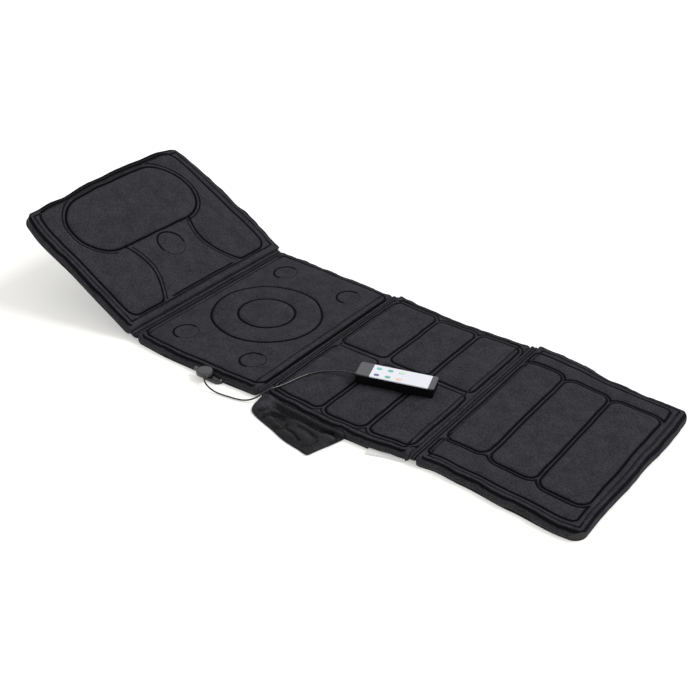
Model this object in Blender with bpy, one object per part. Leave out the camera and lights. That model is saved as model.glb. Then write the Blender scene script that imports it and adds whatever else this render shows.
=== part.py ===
"""Folding massage mat: four padded panels on fabric hinges, ten vibration motors, a heated
back panel, a side pocket and a corded handset.

Frame: metres, +Z up. +X runs from the head panel to the leg panel, +Y across the mat.
The origin is the centre of the back panel's underside. The head panel stands raised.
"""
import math

import bmesh
import bpy

# ---- mat -------------------------------------------------------------------------------
NEAR_Y, FAR_Y = -0.2825, 0.2985   # the mat's two long edges
THICK = 0.028            # panel, underside to pad crowns
HEAD_LEN = 0.422         # fold line to free end
BACK_LEN = 0.396         # fold line to fold line
SEAT_LEN = 0.411
LEG_LEN = 0.411
HEAD_RAISE = math.radians(30)
HINGE_HALF = 0.009       # half the width of a fabric hinge
CORNER_R = 0.030         # panel corners at the free ends
HINGE_CORNER_R = 0.012   # panel corners beside a fabric hinge
COVER_T = 0.0018         # laminated cover fabric
BACK_T = 0.0015          # underside fabric
BASE_TOP = 0.0240        # cover between the pads
FIELD_TOP = 0.0262       # low pads
GAP = 0.0003             # between touching pieces

# ---- inside the panels ---------------------------------------------------------------------
FOAM_TOP = 0.0210
MOTOR_R = 0.026
MOTOR_H = 0.0175
MOTOR_WALL = 0.0015
ROTOR_R = 0.019
ROTOR_HUB_R = 0.005
HEAT_SIZE = 0.262
HEAT_T = 0.0006
STRIP_N0, STRIP_N1 = 0.0100, 0.0122   # fabric hinge, heights above the underside

# ---- lead outlet on the back panel's edge ------------------------------------------------
PUCK_X, PUCK_Y = 0.044, -0.3035
PUCK_R = 0.020
PUCK_Z0, PUCK_Z1 = 0.0118, 0.0246
SOCKET_BORE_R = 0.0032
CORD_D = 0.0040
LEAD_YAW = math.radians(40)

# ---- handset ------------------------------------------------------------------------------
HAND_X, HAND_Y = 0.4375, -0.076
HAND_YAW = math.radians(18)
HAND_CORD = -0.004
HAND_L, HAND_W, HAND_H = 0.188, 0.056, 0.027
FACE_X0, FACE_X1 = -0.061, 0.080      # printed face between the end caps
KEY_TRAVEL = 0.0008      # a key sinks this far, until it is level with the face

# ---- pocket and label ----------------------------------------------------------------------
POCKET_X0, POCKET_X1 = 0.216, 0.445
POCKET_H = 0.012
POCKET_WALL = 0.0012
LABEL_X0, LABEL_X1 = 0.500, 0.592

HINGE_1 = -BACK_LEN / 2
HINGE_2 = BACK_LEN / 2
HINGE_3 = HINGE_2 + SEAT_LEN
EDGE_Y = NEAR_Y


# ---- materials -----------------------------------------------------------------------------
def material(name, hexcode, rough, metal=0.0):
    def linear(c):
        return c / 12.92 if c <= 0.04045 else ((c + 0.055) / 1.055) ** 2.4
    rgb = [linear(int(hexcode[i:i + 2], 16) / 255) for i in (0, 2, 4)]
    mat = bpy.data.materials.new(name)
    mat.use_nodes = True
    bsdf = mat.node_tree.nodes["Principled BSDF"]
    bsdf.inputs["Base Color"].default_value = (*rgb, 1.0)
    bsdf.inputs["Roughness"].default_value = rough
    bsdf.inputs["Metallic"].default_value = metal
    return mat


# ---- outlines, counter-clockwise lists of (x, y) ---------------------------------------------
def rounded(x0, x1, y0, y1, radii, seg=5):
    """Rectangle with corner radii in the order (x0,y0), (x1,y0), (x1,y1), (x0,y1)."""
    if not isinstance(radii, (tuple, list)):
        radii = (radii,) * 4
    centres = [(x0, y0, 1, 1), (x1, y0, -1, 1), (x1, y1, -1, -1), (x0, y1, 1, -1)]
    pts = []
    for k, (cx, cy, sx, sy) in enumerate(centres):
        r = radii[k]
        for i in range(seg + 1):
            a = math.radians(180 + 90 * k + 90 * i / seg)
            pts.append((cx + sx * r + r * math.cos(a), cy + sy * r + r * math.sin(a)))
    return pts


def circle(cx, cy, r, seg=24):
    return [(cx + r * math.cos(2 * math.pi * i / seg), cy + r * math.sin(2 * math.pi * i / seg))
            for i in range(seg)]


def offset(outline, d):
    """The outline moved inward by d along the mitre at each point."""
    out, n = [], len(outline)
    for i in range(n):
        (ax, ay), (bx, by), (cx, cy) = outline[i - 1], outline[i], outline[(i + 1) % n]
        l1, l2 = math.hypot(bx - ax, by - ay), math.hypot(cx - bx, cy - by)
        n1 = (-(by - ay) / l1, (bx - ax) / l1)
        n2 = (-(cy - by) / l2, (cx - bx) / l2)
        k = d / (1 + n1[0] * n2[0] + n1[1] * n2[1])
        out.append((bx + k * (n1[0] + n2[0]), by + k * (n1[1] + n2[1])))
    return out


# ---- solids --------------------------------------------------------------------------------
def loft(bm, rings):
    """Closed body through rings of equal length, each a list of 3-D points, bottom to top."""
    loops = [[bm.verts.new(p) for p in ring] for ring in rings]
    n = len(loops[0])
    for low, high in zip(loops, loops[1:]):
        for i in range(n):
            j = (i + 1) % n
            bm.faces.new((low[i], low[j], high[j], high[i]))
    bm.faces.new(loops[0][::-1])
    bm.faces.new(loops[-1])


def slab(bm, outline, z0, z1, chamfer=0.0):
    rings = [[(x, y, z0) for x, y in outline]]
    if chamfer:
        rings.append([(x, y, z1 - chamfer) for x, y in outline])
        rings.append([(x, y, z1) for x, y in offset(outline, chamfer)])
    else:
        rings.append([(x, y, z1) for x, y in outline])
    loft(bm, rings)


def plate_with_holes(bm, outline, holes, z0, z1):
    """Flat plate of even thickness, cut through by the hole outlines."""
    low, high, edges = [], [], []
    for loop in [outline] + list(holes):
        vs = [bm.verts.new((x, y, z0)) for x, y in loop]
        ws = [bm.verts.new((x, y, z1)) for x, y in loop]
        edges += [bm.edges.new((vs[i - 1], vs[i])) for i in range(len(vs))]
        low.append(vs)
        high.append(ws)
    upper = {v: w for vs, ws in zip(low, high) for v, w in zip(vs, ws)}
    filled = bmesh.ops.triangle_fill(bm, use_beauty=True, use_dissolve=False, edges=edges)
    for f in [g for g in filled["geom"] if isinstance(g, bmesh.types.BMFace)]:
        bm.faces.new([upper[v] for v in f.verts])
    for vs, ws in zip(low, high):
        for i in range(len(vs)):
            bm.faces.new((vs[i - 1], vs[i], ws[i], ws[i - 1]))


def turned(bm, profile, seg=24, cx=0.0, cy=0.0):
    """Body of revolution about a vertical axis; the profile's ends lie on the axis."""
    rings = []
    for r, z in profile:
        if r == 0:
            rings.append([bm.verts.new((cx, cy, z))])
        else:
            rings.append([bm.verts.new((x, y, z)) for x, y in circle(cx, cy, r, seg)])
    for a, b in zip(rings, rings[1:]):
        for i in range(seg):
            j = (i + 1) % seg
            quad = [a[i % len(a)], a[j % len(a)], b[j % len(b)], b[i % len(b)]]
            bm.faces.new(list(dict.fromkeys(quad)))


def body(name, bm, mat, parent=None, move=(0, 0, 0), at=(0, 0, 0), turn=(0, 0, 0), smooth=30):
    """Finish a mesh as one named object: mesh moved by `move`, object placed at `at`."""
    bmesh.ops.recalc_face_normals(bm, faces=bm.faces)
    bmesh.ops.translate(bm, verts=bm.verts, vec=move)
    mesh = bpy.data.meshes.new(name)
    bm.to_mesh(mesh)
    bm.free()
    mesh.materials.append(mat)
    mesh.shade_smooth()
    mesh.set_sharp_from_angle(angle=math.radians(smooth))
    obj = bpy.data.objects.new(name, mesh)
    bpy.context.collection.objects.link(obj)
    obj.location = at
    obj.rotation_euler = turn
    obj.parent = parent
    return obj


def axis_empty(name, at, turn=(0, 0, 0), parent=None):
    obj = bpy.data.objects.new(name, None)
    bpy.context.collection.objects.link(obj)
    obj.empty_display_size = 0.05
    obj.location = at
    obj.rotation_euler = turn
    obj.parent = parent
    return obj


def combine(target, helper, operation):
    helper.hide_render = True
    helper.display_type = "WIRE"
    mod = target.modifiers.new(operation.lower(), "BOOLEAN")
    mod.object = helper
    mod.operation = operation
    mod.solver = "EXACT"


# ---- panels --------------------------------------------------------------------------------
class Panel:
    """One panel: u runs from its head-side fold line (or free end), n up from the underside."""

    def __init__(self, name, length, parent, du, dn, free_start=False, free_end=False):
        self.name, self.parent, self.move = name, parent, (du, 0, dn)
        r0 = CORNER_R if free_start else HINGE_CORNER_R
        r1 = CORNER_R if free_end else HINGE_CORNER_R
        self.u0 = 0.0 if free_start else HINGE_HALF
        self.u1 = length if free_end else length - HINGE_HALF
        self.outline = rounded(self.u0, self.u1, NEAR_Y, FAR_Y, (r0, r1, r1, r0), 6)

    def cover(self, pads, mat):
        """Upper cover: an open-bottomed tray of fabric with raised pads on top."""
        bm = bmesh.new()
        slab(bm, self.outline, BACK_T + GAP, BASE_TOP, 0.004)
        top = body(self.name + "_top_cover", bm, mat, self.parent, self.move)
        for level, (low, outlines) in enumerate(pads):
            bm = bmesh.new()
            for outline, high in outlines:
                slab(bm, outline, low, high, 0.0012)
            pad = body(f"{self.name}_pads_{level}", bm, mat, self.parent, self.move)
            combine(top, pad, "UNION")
        bm = bmesh.new()
        slab(bm, offset(self.outline, COVER_T), -0.002, BASE_TOP - COVER_T, 0.004)
        hollow = body(self.name + "_cover_hollow", bm, mat, self.parent, self.move)
        combine(top, hollow, "DIFFERENCE")

    def back_cover(self, mat):
        bm = bmesh.new()
        slab(bm, self.outline, 0.0, BACK_T)
        body(self.name + "_back_cover", bm, mat, self.parent, self.move)

    def foam(self, motors, mat, extra=()):
        bm = bmesh.new()
        holes = [circle(u, v, MOTOR_R + GAP, 20) for u, v in motors] + list(extra)
        plate_with_holes(bm, offset(self.outline, COVER_T + 0.0035), holes,
                         BACK_T + GAP, FOAM_TOP)
        body(self.name + "_foam_core", bm, mat, self.parent, self.move)

    def motor(self, side, u, v, case_mat, rotor_mat):
        """Cup-shaped motor case, open below, around an eccentric weight on a vertical shaft."""
        z0, z1 = BACK_T + 2 * GAP, BACK_T + 2 * GAP + MOTOR_H
        ri, zi = MOTOR_R - MOTOR_WALL, z1 - MOTOR_WALL
        place = (self.move[0] + u, v, self.move[2])
        bm = bmesh.new()
        turned(bm, [(0, zi), (ri, zi), (ri, z0), (MOTOR_R, z0), (MOTOR_R, z1 - 0.002),
                    (MOTOR_R - 0.002, z1), (0, z1)], 20)
        body(f"motor_case_{side}", bm, case_mat, self.parent, at=place)
        bm = bmesh.new()
        slab(bm, weight_outline(), z0 + 0.004, zi - 0.0040)
        body(f"motor_rotor_{side}", bm, rotor_mat, self.parent, at=place)


def weight_outline():
    """Half-round weight that narrows to a round hub about the shaft."""
    pts = [(ROTOR_R * math.cos(a), ROTOR_R * math.sin(a))
           for a in (math.radians(-80 + 20 * i) for i in range(9))]
    pts += [(ROTOR_HUB_R * math.cos(a), ROTOR_HUB_R * math.sin(a))
            for a in (math.radians(100 + 32 * i) for i in range(6))]
    return pts


def centre_column(u0, u1):
    """Middle field of the head panel, its sides bowed inward."""
    def half(t):
        return 0.112 + 0.026 * t * t - 0.018 * math.sin(math.pi * t)
    steps = [i / 8 for i in range(9)]
    right = [(u0 + (u1 - u0) * t, half(t)) for t in steps]
    return [(u, -v) for u, v in right] + right[::-1]


def side_field(u0, u1, side):
    """Field between the centre column and the head panel's long edge."""
    inner = [(u, v + 0.009) for u, v in centre_column(0.212, 0.388) if v > 0]
    inner = [p for p in inner[::-1] if u0 <= p[0] <= u1]
    outer = [(u1, 0.240), (u1 - 0.008, 0.250), (u0 + 0.008, 0.250), (u0, 0.240)]
    pts = inner + outer
    return pts if side > 0 else [(u, -v) for u, v in pts][::-1]


def head_panel(axis, m):
    p = Panel("head", HEAD_LEN, axis, -HEAD_LEN, -THICK, free_start=True)
    low = [(centre_column(0.212, 0.388), FIELD_TOP),
           (side_field(0.2115, 0.389, 1), FIELD_TOP), (side_field(0.2115, 0.389, -1), FIELD_TOP)]
    high = [(rounded(0.026, 0.203, -0.205, 0.205, 0.085, 8), THICK)]
    p.cover([(0.020, low + high), (0.024, [(circle(0.252, 0.016, 0.029, 20), 0.0272)])],
            m["cover"])
    p.back_cover(m["lining"])
    spots = [(0.290, -0.187), (0.290, 0.187)]
    p.foam(spots, m["foam"])
    for k, (u, v) in enumerate(spots):
        p.motor(f"head_{k + 1}", u, v, m["motor"], m["steel"])


def back_panel(m):
    p = Panel("back", BACK_LEN, None, HINGE_1, 0.0)
    mid = BACK_LEN / 2 - 0.004
    field = [(rounded(0.020, 0.382, -0.262, 0.262, 0.020), 0.0254)]
    discs = [(circle(mid, 0, 0.140, 40), 0.0268)]
    discs += [(circle(mid + du, v, 0.024, 20), 0.0268)
              for du in (-0.100, 0.112) for v in (-0.195, 0.195)]
    p.cover([(0.020, field), (0.0235, discs), (0.0250, [(circle(mid, 0, 0.074, 32), THICK)])],
            m["cover"])
    p.back_cover(m["lining"])
    spots = [(0.198, -0.212), (0.198, 0.212)]
    thermostat = (0.060, 0.010)
    tu, tv = thermostat
    hole = [(tu, tv), (tu + 0.024, tv), (tu + 0.024, tv + 0.014), (tu, tv + 0.014)]
    p.foam(spots, m["foam"], [hole])
    for k, (u, v) in enumerate(spots):
        p.motor(f"back_{k + 1}", u, v, m["motor"], m["steel"])
    bm = bmesh.new()
    h = HEAT_SIZE / 2
    slab(bm, rounded(mid - h, mid + h, -h, h, 0.02), FOAM_TOP + GAP, FOAM_TOP + GAP + HEAT_T)
    body("heating_pad", bm, m["carbon"], None, p.move)
    bm = bmesh.new()
    slab(bm, rounded(tu + 0.001, tu + 0.023, tv + 0.001, tv + 0.013, 0.002, 2), 0.010, 0.0195)
    body("thermostat", bm, m["cap"], None, p.move)


def seat_panel(axis, m):
    p = Panel("seat", SEAT_LEN, axis, 0.0, 0.0)
    pads = []
    for v0, v1 in ((0.008, 0.250), (-0.250, -0.008)):
        pads.append((rounded(0.021, 0.149, v0, v1, 0.018), THICK))
        pads.append((rounded(0.160, 0.268, v0, v1, 0.018), THICK))
        pads.append((rounded(0.279, 0.389, v0, v1, 0.018), THICK))
    p.cover([(0.020, pads)], m["cover"])
    p.back_cover(m["lining"])
    spots = [(u, v) for u in (0.087, 0.328) for v in (-0.160, 0.160)]
    p.foam(spots, m["foam"])
    for k, (u, v) in enumerate(spots):
        p.motor(f"seat_{k + 1}", u, v, m["motor"], m["steel"])


def leg_panel(axis, m):
    p = Panel("leg", LEG_LEN, axis, 0.0, -THICK, free_end=True)
    pads = [(rounded(u0, u1, -0.198, 0.198, 0.024), THICK)
            for u0, u1 in ((0.022, 0.124), (0.134, 0.248), (0.258, 0.376))]
    pads += [(rounded(0.022, 0.376, v0, v1, 0.012), FIELD_TOP)
             for v0, v1 in ((-0.250, -0.206), (0.206, 0.250))]
    p.cover([(0.020, pads)], m["cover"])
    p.back_cover(m["lining"])
    spots = [(0.190, -0.118), (0.190, 0.118)]
    p.foam(spots, m["foam"])
    for k, (u, v) in enumerate(spots):
        p.motor(f"leg_{k + 1}", u, v, m["motor"], m["steel"])


def hinge_strip(name, x, axis_n, bend, mat):
    """Fabric web between two panels, wound evenly about the fold line by the rest angle."""
    stations, rings = 6, []
    for i in range(stations + 1):
        t = i / stations
        a = bend * t
        u = (HINGE_HALF - GAP) * (1 - 2 * t)
        ring = []
        near, far = NEAR_Y + 0.008, FAR_Y - 0.008
        for n, y in ((STRIP_N0, near), (STRIP_N1, near), (STRIP_N1, far), (STRIP_N0, far)):
            z = n - axis_n
            ring.append((x + u * math.cos(a) + z * math.sin(a), y,
                         axis_n - u * math.sin(a) + z * math.cos(a)))
        rings.append(ring)
    bm = bmesh.new()
    loft(bm, rings)
    body(name, bm, mat)


# ---- lead outlet, sockets and the handset's cord ----------------------------------------------
def lead_outlet(m):
    """Round plastic outlet on the near edge, on a rubber boot that holds it to the mat."""
    zs = 0.5 * (PUCK_Z0 + PUCK_Z1)
    bm = bmesh.new()
    turned(bm, [(0, PUCK_Z0), (PUCK_R - 0.003, PUCK_Z0), (PUCK_R, PUCK_Z0 + 0.003),
                (PUCK_R, zs), (0, zs)], 32, PUCK_X, PUCK_Y)
    body("outlet_base", bm, m["outlet"])
    bm = bmesh.new()
    turned(bm, [(0, zs + GAP), (PUCK_R, zs + GAP), (PUCK_R, PUCK_Z1 - 0.0035),
                (PUCK_R - 0.0015, PUCK_Z1 - 0.0012), (PUCK_R - 0.005, PUCK_Z1), (0, PUCK_Z1)],
           32, PUCK_X, PUCK_Y)
    body("outlet_cap", bm, m["outlet"])
    bm = bmesh.new()
    slab(bm, rounded(PUCK_X - 0.004, PUCK_X + 0.048, EDGE_Y - 0.026, EDGE_Y - 0.0005,
                     (0.009, 0.014, 0.002, 0.002)), 0.0010, PUCK_Z0 - GAP, 0.003)
    body("outlet_boot", bm, m["rubber"])
    # Power inlet: a barrel on the outlet's side, its bore open towards the head end.
    bm = bmesh.new()
    turned(bm, [(0, 0), (0.0046, 0), (0.0046, 0.0085), (SOCKET_BORE_R, 0.0085),
                (SOCKET_BORE_R, 0.0015), (0, 0.0015)], 16)
    body("power_inlet", bm, m["cap"], at=(PUCK_X - PUCK_R - GAP, PUCK_Y, zs),
         turn=(0, -math.pi / 2, 0))
    # Strain relief of the control cord, pointing away from the mat and towards the foot.
    bm = bmesh.new()
    turned(bm, [(0, 0), (0.0040, 0), (0.0036, 0.004), (0.0030, 0.0085), (0, 0.0085)], 16)
    body("outlet_strain_relief", bm, m["rubber"],
         at=outlet_point(PUCK_R + GAP, zs), turn=(math.pi / 2, 0, LEAD_YAW))


def outlet_point(reach, z):
    """World point at a reach from the outlet's centre, along its strain relief."""
    return (PUCK_X + reach * math.sin(LEAD_YAW), PUCK_Y - reach * math.cos(LEAD_YAW), z)


def cord_route():
    """Way points of the handset's cord, from the outlet's strain relief to the handset's."""
    zs = 0.5 * (PUCK_Z0 + PUCK_Z1)
    tip = PUCK_R + 2 * GAP + 0.0085
    hx, hy = handset_point(-HAND_L / 2 - 2 * GAP - 0.010, HAND_CORD)
    end = (hx, hy, THICK + 0.0108)
    lead = handset_point(-HAND_L / 2 - 0.024, HAND_CORD)
    floor = 0.0032
    return [outlet_point(tip, zs), outlet_point(tip + 0.0045, zs), (0.0745, -0.3352, 0.0148),
            (0.088, -0.3372, 0.0088), (0.1056, -0.3365, 0.0042), (0.125, -0.3342, floor),
            (0.1418, -0.3312, floor), (0.160, -0.3275, floor), (0.176, -0.3222, 0.0037),
            (0.190, -0.3145, 0.0066), (0.202, -0.305, 0.0135), (0.2120, -0.2955, 0.0235),
            (0.2215, -0.2830, 0.0316), (0.230, -0.262, 0.0322), (0.2375, -0.230, 0.0309),
            (0.245, -0.195, 0.0308), (0.2555, -0.166, 0.0308), (0.270, -0.144, 0.0312),
            (0.289, -0.130, 0.0332), (0.307, -0.1221, 0.0366), (lead[0], lead[1], end[2]), end]


def smooth_path(points, count):
    """Centripetal Catmull-Rom curve through the points, read at even steps of its length."""
    pts = [tuple(2 * a - b for a, b in zip(points[0], points[1]))] + list(points)
    pts.append(tuple(2 * a - b for a, b in zip(points[-1], points[-2])))
    fine = []
    for p0, p1, p2, p3 in zip(pts, pts[1:], pts[2:], pts[3:]):
        t = [0.0]
        for a, b in ((p0, p1), (p1, p2), (p2, p3)):
            t.append(t[-1] + math.sqrt(math.dist(a, b)))
        for i in range(24):
            s = t[1] + (t[2] - t[1]) * i / 24

            def mix(a, b, ta, tb):
                return tuple((tb - s) / (tb - ta) * x + (s - ta) / (tb - ta) * y
                             for x, y in zip(a, b))
            a1, a2, a3 = mix(p0, p1, t[0], t[1]), mix(p1, p2, t[1], t[2]), mix(p2, p3, t[2], t[3])
            b1, b2 = mix(a1, a2, t[0], t[2]), mix(a2, a3, t[1], t[3])
            fine.append(mix(b1, b2, t[1], t[2]))
    fine.append(tuple(points[-1]))
    run = [0.0]
    for a, b in zip(fine, fine[1:]):
        run.append(run[-1] + math.dist(a, b))
    out, k = [], 0
    for i in range(count):
        want = run[-1] * i / (count - 1)
        while k < len(fine) - 2 and run[k + 1] < want:
            k += 1
        f = (want - run[k]) / (run[k + 1] - run[k])
        out.append(tuple(a + f * (b - a) for a, b in zip(fine[k], fine[k + 1])))
    return out


def control_cord(m):
    pts = smooth_path(cord_route(), 56)
    curve = bpy.data.curves.new("control_cord", "CURVE")
    curve.dimensions = "3D"
    curve.bevel_depth = CORD_D / 2
    curve.bevel_resolution = 2
    curve.use_fill_caps = True
    spline = curve.splines.new("POLY")
    spline.points.add(len(pts) - 1)
    for point, co in zip(spline.points, pts):
        point.co = (*co, 1.0)
    curve.materials.append(m["rubber"])
    obj = bpy.data.objects.new("control_cord", curve)
    bpy.context.collection.objects.link(obj)


# ---- handset ---------------------------------------------------------------------------------
def handset_point(along, across):
    """World x, y of a point given along and across the handset."""
    c, s = math.cos(HAND_YAW), math.sin(HAND_YAW)
    return HAND_X + along * c - across * s, HAND_Y + along * s + across * c


def key_outline(grow=0.0):
    return rounded(-0.0062 - grow, 0.0062 + grow, -0.0046 - grow, 0.0046 + grow,
                   0.0045 + grow, 4)


def handset(seat_axis, m):
    """Slim remote on the seat panel: black shell, printed white face, grey end caps, six keys."""
    frame = axis_empty("handset_frame", (HAND_X - HINGE_2, HAND_Y, THICK + GAP),
                       (0, 0, HAND_YAW), seat_axis)
    hl, hw, top = HAND_L / 2, HAND_W / 2, HAND_H - 0.0035
    bm = bmesh.new()
    outer = rounded(-hl, hl, -hw, hw, 0.006)
    inner = rounded(-hl + 0.002, hl - 0.002, -hw + 0.002, hw - 0.002, 0.004)
    rings = [[(x, y, 0) for x, y in offset(outer, 0.002)], [(x, y, 0.002) for x, y in outer],
             [(x, y, top) for x, y in outer], [(x, y, top) for x, y in inner],
             [(x, y, 0.002) for x, y in inner]]
    loft(bm, rings)
    body("handset_shell", bm, m["shell"], frame)
    bm = bmesh.new()
    slab(bm, rounded(-hl + 0.008, hl - 0.008, -hw + 0.004, hw - 0.004, 0.002, 2), 0.0130, 0.0146)
    body("handset_board", bm, m["board"], frame)
    spots = [(a, c) for c in (0.013, -0.015) for a in (-0.046, -0.019, 0.008)]
    bm = bmesh.new()
    holes = [[(a + x, c + y) for x, y in key_outline(0.0005)] for a, c in spots]
    plate_with_holes(bm, rounded(FACE_X0, FACE_X1, -hw + 0.0008, hw - 0.0008, 0.0008, 2), holes,
                     top + GAP, HAND_H - KEY_TRAVEL)
    body("handset_face", bm, m["face"], frame)
    bm = bmesh.new()
    slab(bm, rounded(-hl, FACE_X0 - GAP, -hw, hw, (0.006, 0.0008, 0.0008, 0.006)),
         top + GAP, HAND_H, 0.0007)
    body("handset_cap_left", bm, m["cap"], frame)
    bm = bmesh.new()
    slab(bm, rounded(FACE_X1 + GAP, hl, -hw, hw, (0.0008, 0.006, 0.006, 0.0008)),
         top + GAP, HAND_H, 0.0007)
    body("handset_cap_right", bm, m["cap"], frame)
    for k, (a, c) in enumerate(spots):
        bm = bmesh.new()
        slab(bm, key_outline(), 0.0170, HAND_H, 0.0006)
        body(f"handset_key_{k + 1}", bm, m[f"key_{k + 1}"], frame, at=(a, c, 0))
    bm = bmesh.new()
    turned(bm, [(0, 0), (0.0040, 0), (0.0036, 0.005), (0.0029, 0.010), (0, 0.010)], 16)
    body("handset_strain_relief", bm, m["rubber"], frame, at=(-hl - GAP, HAND_CORD, 0.0105),
         turn=(0, -math.pi / 2, 0))


# ---- pocket and label --------------------------------------------------------------------------
def pocket(seat_axis, m):
    """Limp pouch sewn to the seat panel's near edge, slumped beside it, its mouth inward."""
    x0, x1 = POCKET_X0 - HINGE_2, POCKET_X1 - HINGE_2
    mouth = EDGE_Y - 0.021
    outer = [(x0, mouth), (x0 - 0.0075, mouth - 0.012), (x0 - 0.0075, mouth - 0.027),
             (x0 + 0.004, mouth - 0.038), (x0 + 0.087, mouth - 0.061), (x1 - 0.053, mouth - 0.084),
             (x1 - 0.031, mouth - 0.087), (x1 - 0.020, mouth - 0.080), (x1, mouth)]
    inner = [(x0 + 0.0015, mouth + 0.004)] + offset(outer, 0.0015)[1:-1]
    inner += [(x1 - 0.0015, mouth + 0.004)]
    bm = bmesh.new()
    slab(bm, outer, 0.0, POCKET_H, 0.002)
    pouch = slumped(body("side_pocket", bm, m["nylon"], seat_axis), mouth)
    bm = bmesh.new()
    slab(bm, [(x0, mouth - 0.005), (x1, mouth - 0.005), (x1, EDGE_Y - GAP), (x0, EDGE_Y - GAP)],
         0.0, POCKET_WALL)
    flap = slumped(body("pocket_flap", bm, m["nylon"], seat_axis), mouth)
    combine(pouch, flap, "UNION")
    bm = bmesh.new()
    slab(bm, inner, POCKET_WALL, POCKET_H - POCKET_WALL)
    hollow = slumped(body("pocket_hollow", bm, m["nylon"], seat_axis), mouth)
    combine(pouch, hollow, "DIFFERENCE")


def slumped(obj, mouth):
    """The pouch hangs from the edge seam: tall beside the mat, low at its bottom seam."""
    for vert in obj.data.vertices:
        slope = min(max((vert.co.y - mouth + 0.087) / 0.087, 0.0), 1.0)
        vert.co.z *= 0.62 + 0.88 * slope
    return obj


def care_label(seat_axis, m):
    """Blank white label, sewn into the near edge seam and hanging to just above the floor."""
    bm = bmesh.new()
    slab(bm, rounded(LABEL_X0 - HINGE_2, LABEL_X1 - HINGE_2, -0.021, 0, 0.0005, 2), 0, 0.0008)
    body("care_label", bm, m["label"], seat_axis, at=(0, EDGE_Y - 0.0010, 0.0120),
         turn=(math.radians(28), 0, 0))


def build():
    for obj in list(bpy.data.objects):
        bpy.data.objects.remove(obj, do_unlink=True)
    m = {"cover": material("laminated_knit_black", "2E2E31", 0.85),
         "lining": material("underside_fabric_black", "232325", 0.85),
         "foam": material("polyurethane_foam_grey", "55565A", 0.9),
         "motor": material("moulded_abs_black", "1C1C1E", 0.5),
         "steel": material("plated_steel", "9A9CA0", 0.35, 1.0),
         "carbon": material("heating_film_black", "17171A", 0.6),
         "outlet": material("gloss_abs_graphite", "3A3A3D", 0.25),
         "rubber": material("soft_pvc_black", "141415", 0.45),
         "nylon": material("coated_nylon_black", "1F1F21", 0.5),
         "label": material("satin_label_white", "E9E9E6", 0.7),
         "shell": material("handset_abs_black", "101011", 0.4),
         "cap": material("handset_abs_grey", "6A6A6C", 0.4),
         "face": material("printed_polycarbonate_white", "F2F2F4", 0.25),
         "board": material("circuit_board_green", "1E5A37", 0.5)}
    for k, tint in enumerate(("6FB9B5", "5FB3A6", "B9DDBE", "6A5C93", "63AF97", "EFC0A2")):
        m[f"key_{k + 1}"] = material(f"silicone_key_{k + 1}", tint, 0.5)
    head_axis = axis_empty("head_fold_axis", (HINGE_1, 0, THICK), (0, HEAD_RAISE, 0))
    seat_axis = axis_empty("hip_fold_axis", (HINGE_2, 0, 0))
    leg_axis = axis_empty("leg_fold_axis", (SEAT_LEN, 0, THICK), parent=seat_axis)
    head_panel(head_axis, m)
    back_panel(m)
    seat_panel(seat_axis, m)
    leg_panel(leg_axis, m)
    hinge_strip("head_hinge_strip", HINGE_1, THICK, HEAD_RAISE, m["cover"])
    hinge_strip("hip_hinge_strip", HINGE_2, 0.0, 0.0, m["cover"])
    hinge_strip("leg_hinge_strip", HINGE_3, THICK, 0.0, m["cover"])
    lead_outlet(m)
    control_cord(m)
    handset(seat_axis, m)
    pocket(seat_axis, m)
    care_label(seat_axis, m)


build()
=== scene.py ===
import math
import bmesh
import bpy
import numpy as np
from mathutils import Matrix, Vector


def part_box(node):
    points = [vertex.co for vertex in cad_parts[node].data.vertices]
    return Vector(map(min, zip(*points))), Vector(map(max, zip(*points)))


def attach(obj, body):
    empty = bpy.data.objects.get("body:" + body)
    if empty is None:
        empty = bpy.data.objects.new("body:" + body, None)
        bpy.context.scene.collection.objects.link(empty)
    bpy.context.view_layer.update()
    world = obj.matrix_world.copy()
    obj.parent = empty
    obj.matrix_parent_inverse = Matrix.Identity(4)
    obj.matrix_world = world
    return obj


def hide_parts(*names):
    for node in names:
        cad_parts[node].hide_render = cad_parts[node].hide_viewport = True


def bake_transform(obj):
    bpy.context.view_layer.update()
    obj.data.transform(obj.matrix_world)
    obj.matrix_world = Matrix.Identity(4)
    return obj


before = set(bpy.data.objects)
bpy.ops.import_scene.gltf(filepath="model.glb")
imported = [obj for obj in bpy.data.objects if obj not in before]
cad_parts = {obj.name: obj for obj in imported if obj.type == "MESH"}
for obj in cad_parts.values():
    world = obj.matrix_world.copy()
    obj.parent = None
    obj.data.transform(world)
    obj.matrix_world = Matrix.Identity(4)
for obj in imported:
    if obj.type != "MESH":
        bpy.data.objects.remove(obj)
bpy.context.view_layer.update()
scene = bpy.context.scene


# ======== camera =====================================================================
# A short telephoto view from the foot end's near corner, looking down at the open mat.
CAM_AZ, CAM_EL, CAM_DIST, CAM_ROLL = 33.09, 31.71, 2.852, 3.27
CAM_AIM = Vector((0.2396, 0.0205, 0.0))
SENSOR, FOCAL_OVER_SENSOR = 36, 1.6318
az, el, roll = (math.radians(a) for a in (CAM_AZ, CAM_EL, CAM_ROLL))
back = Vector((math.sin(az) * math.cos(el), -math.cos(az) * math.cos(el), math.sin(el)))
right = Vector((0, 0, 1)).cross(back).normalized()
up = back.cross(right)
cam_x = right * math.cos(roll) + up * math.sin(roll)
cam_y = up * math.cos(roll) - right * math.sin(roll)
cam_data = bpy.data.cameras.new("studio_camera")
cam_data.lens, cam_data.sensor_width = FOCAL_OVER_SENSOR * SENSOR, SENSOR
cam = bpy.data.objects.new("studio_camera", cam_data)
scene.collection.objects.link(cam)
cam.matrix_world = (Matrix.Translation(CAM_AIM + back * CAM_DIST)
                    @ Matrix((cam_x, cam_y, back)).transposed().to_4x4())
scene.camera = cam


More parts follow.
